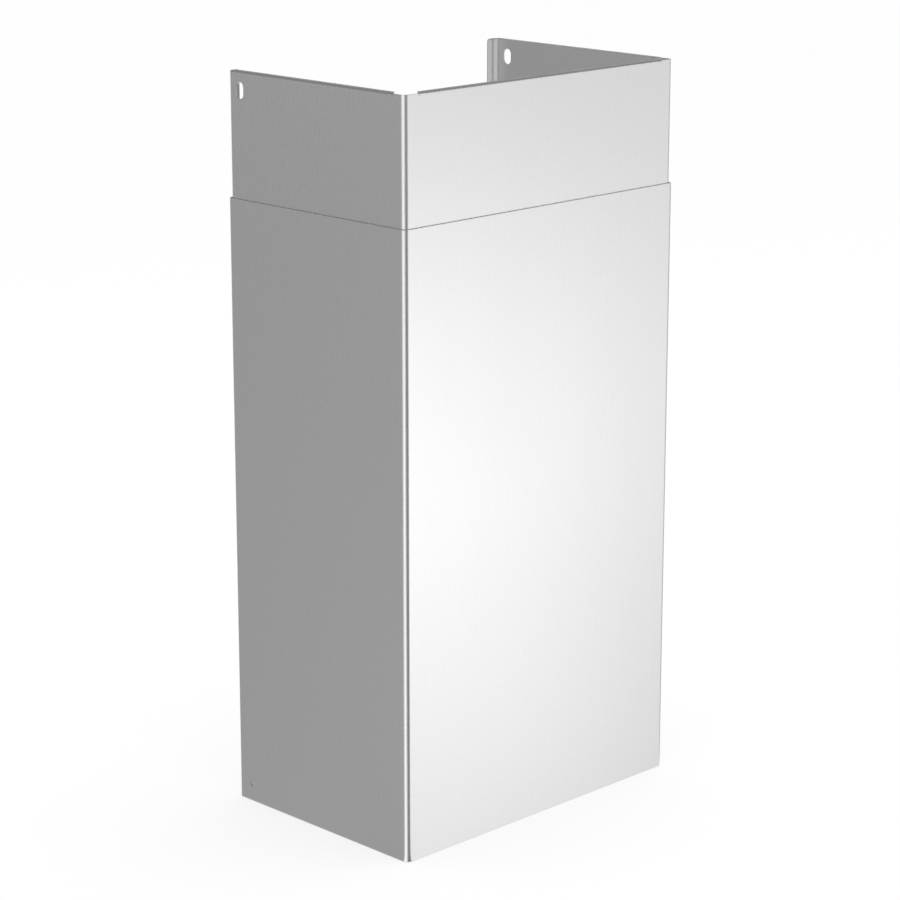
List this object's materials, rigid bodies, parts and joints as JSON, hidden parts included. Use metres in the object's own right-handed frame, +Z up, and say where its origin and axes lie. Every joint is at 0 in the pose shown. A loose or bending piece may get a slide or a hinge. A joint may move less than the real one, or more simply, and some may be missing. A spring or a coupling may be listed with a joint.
{
  "type": "cooker hood chimney section",
  "caption": "Telescoping chimney cover for a wall cooker hood: an open-backed folded sheet cover that slides inside a wider one, with lips, slots and screw holes.",
  "frame": {"origin": "middle of the foot of the lower cover: centre of the width and depth, at the bottom edge", "axes": "+Z up along the chimney, -Y towards the front panel, +Y towards the wall and the open back, +X to the right of a viewer facing the front panel"},
  "size_m": [0.3, 0.2, 0.6],
  "materials": {
    "brushed_stainless": "fine brushed stainless sheet, grain upright"
  },
  "bodies": {
    "lower": {"lower_cover": "brushed_stainless"},
    "upper": {"upper_cover": "brushed_stainless"}
  },
  "joints": [
    {"name": "upper_slide", "type": "slide", "parent": "lower", "child": "upper", "axis": [0, 0, 1], "range_m": [-0.1, 0.3]}
  ]
}
